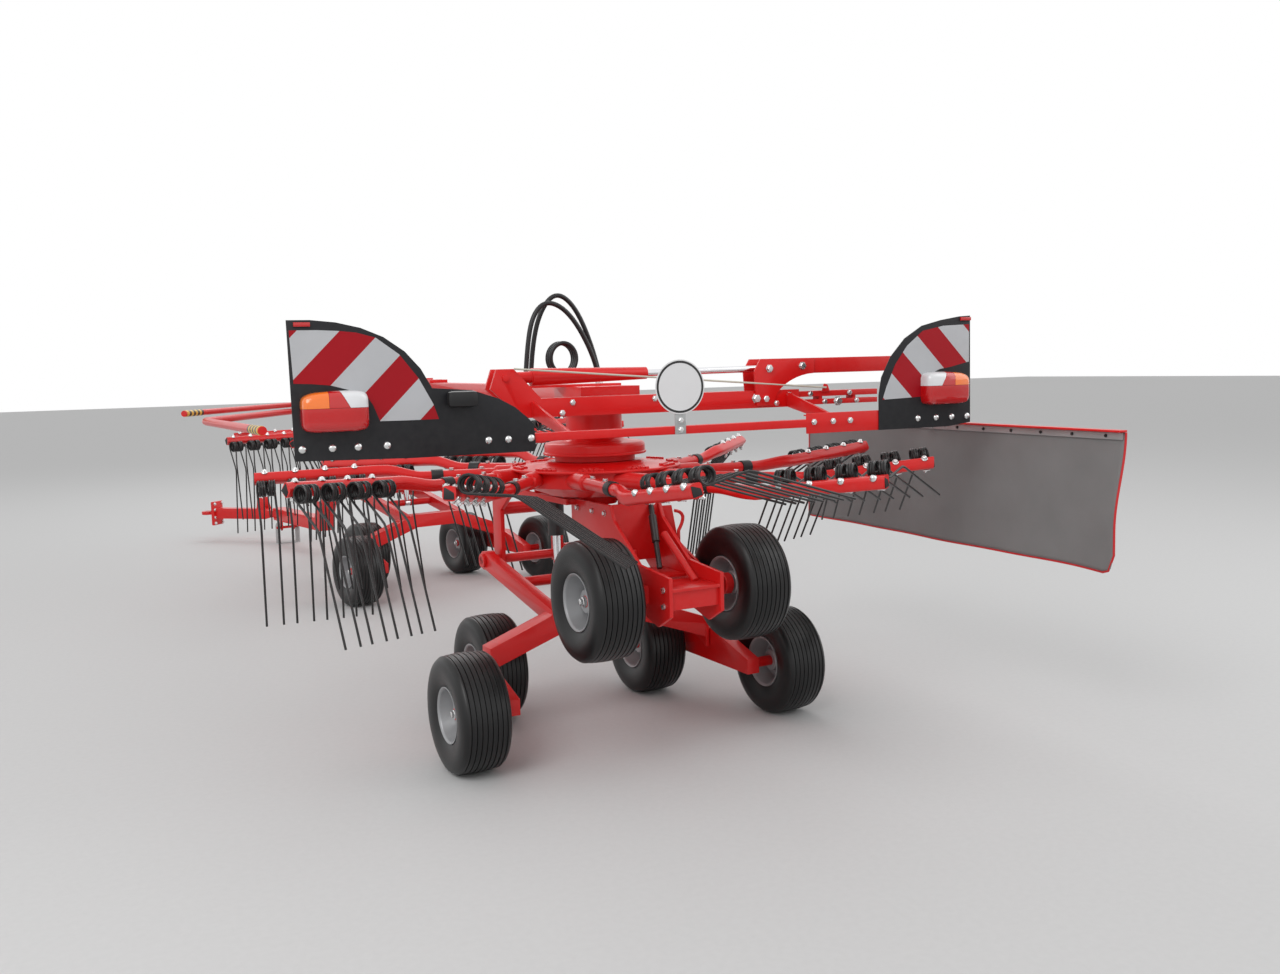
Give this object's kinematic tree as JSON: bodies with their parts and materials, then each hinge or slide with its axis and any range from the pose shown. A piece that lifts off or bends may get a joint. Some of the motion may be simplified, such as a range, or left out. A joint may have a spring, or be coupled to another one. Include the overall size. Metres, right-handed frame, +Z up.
{
  "type": "folded rotary rake",
  "caption": "Trailed side-delivery rotary rake with rotors in line, raised on bogies for the road, with striped warning panels, lamps and a swath curtain.",
  "frame": {"origin": "centre of the overall box, on the ground", "axes": "+Y is the travel direction, +X the right side of the machine, +Z up"},
  "size_m": [3.118, 8.5824, 1.8304],
  "materials": {
    "red_paint": "gloss red paint",
    "tyre_rubber": "black ribbed tyre",
    "rim_paint": "silver painted wheel",
    "spring_steel": "black coated spring steel",
    "zinc": "galvanised steel",
    "chrome_rod": "chromed rod",
    "panel_black": "black coated panel",
    "lamp_lens": "red lamp lens",
    "sign_white": "white sign",
    "curtain_cloth": "grey coated cloth",
    "hose_rubber": "black hose",
    "black_paint": "black paint"
  },
  "bodies": {
    "front_beam": {"front_beam": "red_paint", "front_gearbox": "red_paint", "rotor_guard": "red_paint"},
    "drawbar": {"drawbar": "red_paint"},
    "parking_stand": {"parking_stand": "zinc"},
    "rear_boom": {"rear_boom": "red_paint", "rear_gearbox": "red_paint", "cross_beam": "red_paint", "light_bar": "red_paint", "warning_panel_left": "panel_black", "warning_panel_right": "panel_black", "tail_lamp_left": "lamp_lens", "tail_lamp_right": "lamp_lens", "round_sign": "sign_white", "hydraulic_hoses": "hose_rubber"},
    "front_rotor": {"front_rotor_hub": "red_paint", "front_tine_arms": "red_paint", "front_tines": "spring_steel"},
    "front_carriage": {"front_carriage": "red_paint", "front_lift_barrel": "black_paint"},
    "front_axle": {"front_axle": "red_paint"},
    "front_lift_rod": {"front_lift_rod": "chrome_rod"},
    "front_bogie_left": {"front_bogie_left": "red_paint"},
    "wheel_front_left_inner": {"tyre_front_left_inner": "tyre_rubber", "rim_front_left_inner": "rim_paint"},
    "wheel_front_left_outer": {"tyre_front_left_outer": "tyre_rubber", "rim_front_left_outer": "rim_paint"},
    "front_bogie_right": {"front_bogie_right": "red_paint"},
    "wheel_front_right_inner": {"tyre_front_right_inner": "tyre_rubber", "rim_front_right_inner": "rim_paint"},
    "wheel_front_right_outer": {"tyre_front_right_outer": "tyre_rubber", "rim_front_right_outer": "rim_paint"},
    "rear_rotor": {"rear_rotor_hub": "red_paint", "rear_tine_arms": "red_paint", "rear_tines": "spring_steel"},
    "rear_carriage": {"rear_carriage": "red_paint", "rear_lift_barrel": "black_paint"},
    "rear_axle": {"rear_axle": "red_paint"},
    "rear_lift_rod": {"rear_lift_rod": "chrome_rod"},
    "rear_bogie_left": {"rear_bogie_left": "red_paint"},
    "wheel_rear_left_inner": {"tyre_rear_left_inner": "tyre_rubber", "rim_rear_left_inner": "rim_paint"},
    "wheel_rear_left_outer": {"tyre_rear_left_outer": "tyre_rubber", "rim_rear_left_outer": "rim_paint"},
    "rear_bogie_right": {"rear_bogie_right": "red_paint"},
    "wheel_rear_right_inner": {"tyre_rear_right_inner": "tyre_rubber", "rim_rear_right_inner": "rim_paint"},
    "wheel_rear_right_outer": {"tyre_rear_right_outer": "tyre_rubber", "rim_rear_right_outer": "rim_paint"},
    "wheel_raking_left": {"tyre_raking_left": "tyre_rubber", "rim_raking_left": "rim_paint"},
    "wheel_raking_right": {"tyre_raking_right": "tyre_rubber", "rim_raking_right": "rim_paint"},
    "curtain_arm": {"curtain_arm": "red_paint", "swath_curtain": "curtain_cloth"},
    "curtain_barrel": {"curtain_cylinder_barrel": "red_paint"},
    "curtain_rod": {"curtain_cylinder_rod": "chrome_rod"}
  },
  "joints": [
    {"name": "drawbar_swing", "type": "hinge", "parent": "front_beam", "child": "drawbar", "pos_m": [-0.59664, 3.73923, 0.25], "axis": [0, 0, 1], "range_deg": [-75, 15]},
    {"name": "stand_fold", "type": "hinge", "parent": "front_beam", "child": "parking_stand", "pos_m": [-0.55897, 3.57345, 0.143], "axis": [-0.9751, -0.2215, 0], "range_deg": [0, 90]},
    {"name": "boom_swing", "type": "hinge", "parent": "front_beam", "child": "rear_boom", "pos_m": [0.0813, 0.75527, 1.45], "axis": [0, 0, 1], "range_deg": [-10, 38]},
    {"name": "front_rotor_turn", "type": "hinge", "parent": "front_beam", "child": "front_rotor", "pos_m": [0.0813, 0.75527, 1.1], "axis": [0, 0, 1], "continuous": true},
    {"name": "front_steer", "type": "hinge", "parent": "front_beam", "child": "front_carriage", "pos_m": [0.0813, 0.75527, 0.95], "axis": [0, 0, 1], "range_deg": [-20, 20]},
    {"name": "front_lift", "type": "hinge", "parent": "front_carriage", "child": "front_axle", "pos_m": [-0.08375, 1.48176, 0.62], "axis": [-0.9751, -0.2215, 0], "range_deg": [0, 29]},
    {"name": "front_rod_slide", "type": "slide", "parent": "front_carriage", "child": "front_lift_rod", "axis": [0, 0, 1], "range_m": [0, 0.166]},
    {"name": "front_bogie_left_level", "type": "hinge", "parent": "front_axle", "child": "front_bogie_left", "pos_m": [-0.45991, 0.63231, 0.3], "axis": [-0.9751, -0.2215, 0], "range_deg": [-29.5, 0.5]},
    {"name": "wheel_front_left_inner_turn", "type": "hinge", "parent": "front_bogie_left", "child": "wheel_front_left_inner", "pos_m": [-0.36733, 0.96509, 0.228], "axis": [0.9751, 0.2215, 0], "continuous": true},
    {"name": "wheel_front_left_outer_turn", "type": "hinge", "parent": "front_bogie_left", "child": "wheel_front_left_outer", "pos_m": [-0.55248, 0.29953, 0.228], "axis": [0.9751, 0.2215, 0], "continuous": true},
    {"name": "front_bogie_right_level", "type": "hinge", "parent": "front_axle", "child": "front_bogie_right", "pos_m": [0.62251, 0.87823, 0.3], "axis": [-0.9751, -0.2215, 0], "range_deg": [-29.5, 0.5]},
    {"name": "wheel_front_right_inner_turn", "type": "hinge", "parent": "front_bogie_right", "child": "wheel_front_right_inner", "pos_m": [0.39523, 1.13834, 0.228], "axis": [0.9751, 0.2215, 0], "continuous": true},
    {"name": "wheel_front_right_outer_turn", "type": "hinge", "parent": "front_bogie_right", "child": "wheel_front_right_outer", "pos_m": [0.84978, 0.61812, 0.228], "axis": [0.9751, 0.2215, 0], "continuous": true},
    {"name": "rear_rotor_turn", "type": "hinge", "parent": "rear_boom", "child": "rear_rotor", "pos_m": [-0.1187, -2.81473, 1.1], "axis": [0, 0, 1], "continuous": true},
    {"name": "rear_steer", "type": "hinge", "parent": "rear_boom", "child": "rear_carriage", "pos_m": [-0.1187, -2.81473, 0.95], "axis": [0, 0, 1], "range_deg": [-20, 20]},
    {"name": "rear_lift", "type": "hinge", "parent": "rear_carriage", "child": "rear_axle", "pos_m": [-0.17456, -2.07183, 0.62], "axis": [-0.9972, -0.075, 0], "range_deg": [0, 29]},
    {"name": "rear_rod_slide", "type": "slide", "parent": "rear_carriage", "child": "rear_lift_rod", "axis": [0, 0, 1], "range_m": [0, 0.166]},
    {"name": "rear_bogie_left_level", "type": "hinge", "parent": "rear_axle", "child": "rear_bogie_left", "pos_m": [-0.67214, -2.85634, 0.3], "axis": [-0.9972, -0.075, 0], "range_deg": [-29.5, 0.5]},
    {"name": "wheel_rear_left_inner_turn", "type": "hinge", "parent": "rear_bogie_left", "child": "wheel_rear_left_inner", "pos_m": [-0.53139, -2.5409, 0.228], "axis": [0.9972, 0.075, 0], "continuous": true},
    {"name": "wheel_rear_left_outer_turn", "type": "hinge", "parent": "rear_bogie_left", "child": "wheel_rear_left_outer", "pos_m": [-0.81288, -3.17178, 0.228], "axis": [0.9972, 0.075, 0], "continuous": true},
    {"name": "rear_bogie_right_level", "type": "hinge", "parent": "rear_axle", "child": "rear_bogie_right", "pos_m": [0.43474, -2.77312, 0.3], "axis": [-0.9972, -0.075, 0], "range_deg": [-29.5, 0.5]},
    {"name": "wheel_rear_right_inner_turn", "type": "hinge", "parent": "rear_bogie_right", "child": "wheel_rear_right_inner", "pos_m": [0.24841, -2.48227, 0.228], "axis": [0.9972, 0.075, 0], "continuous": true},
    {"name": "wheel_rear_right_outer_turn", "type": "hinge", "parent": "rear_bogie_right", "child": "wheel_rear_right_outer", "pos_m": [0.62107, -3.06397, 0.228], "axis": [0.9972, 0.075, 0], "continuous": true},
    {"name": "wheel_raking_left_turn", "type": "hinge", "parent": "rear_carriage", "child": "wheel_raking_left", "pos_m": [-0.38932, -3.45683, 0.664], "axis": [0.9972, 0.075, 0], "continuous": true},
    {"name": "wheel_raking_right_turn", "type": "hinge", "parent": "rear_carriage", "child": "wheel_raking_right", "pos_m": [0.24489, -3.40914, 0.664], "axis": [0.9972, 0.075, 0], "continuous": true},
    {"name": "curtain_lift", "type": "hinge", "parent": "rear_boom", "child": "curtain_arm", "pos_m": [0.5013, -3.13473, 1.37], "axis": [0, -1, 0], "range_deg": [0, 45]},
    {"name": "curtain_barrel_swing", "type": "hinge", "parent": "rear_boom", "child": "curtain_barrel", "pos_m": [-0.6187, -3.13473, 1.486], "axis": [0, -1, 0], "range_deg": [-1.24, 0.05]},
    {"name": "curtain_rod_slide", "type": "slide", "parent": "curtain_barrel", "child": "curtain_rod", "axis": [1, 0, 0.0079], "range_m": [-0.0947, 0.0005]}
  ],
  "couplings": [
    {"joint": "front_rod_slide", "follows": "front_lift", "m_per_rad": 0.32691},
    {"joint": "front_bogie_left_level", "follows": "front_lift", "ratio": -1},
    {"joint": "front_bogie_right_level", "follows": "front_lift", "ratio": -1},
    {"joint": "rear_rod_slide", "follows": "rear_lift", "m_per_rad": 0.32691},
    {"joint": "rear_bogie_left_level", "follows": "rear_lift", "ratio": -1},
    {"joint": "rear_bogie_right_level", "follows": "rear_lift", "ratio": -1},
    {"joint": "curtain_barrel_swing", "follows": "curtain_lift", "ratio": -0.02645},
    {"joint": "curtain_rod_slide", "follows": "curtain_lift", "m_per_rad": -0.11993}
  ]
}
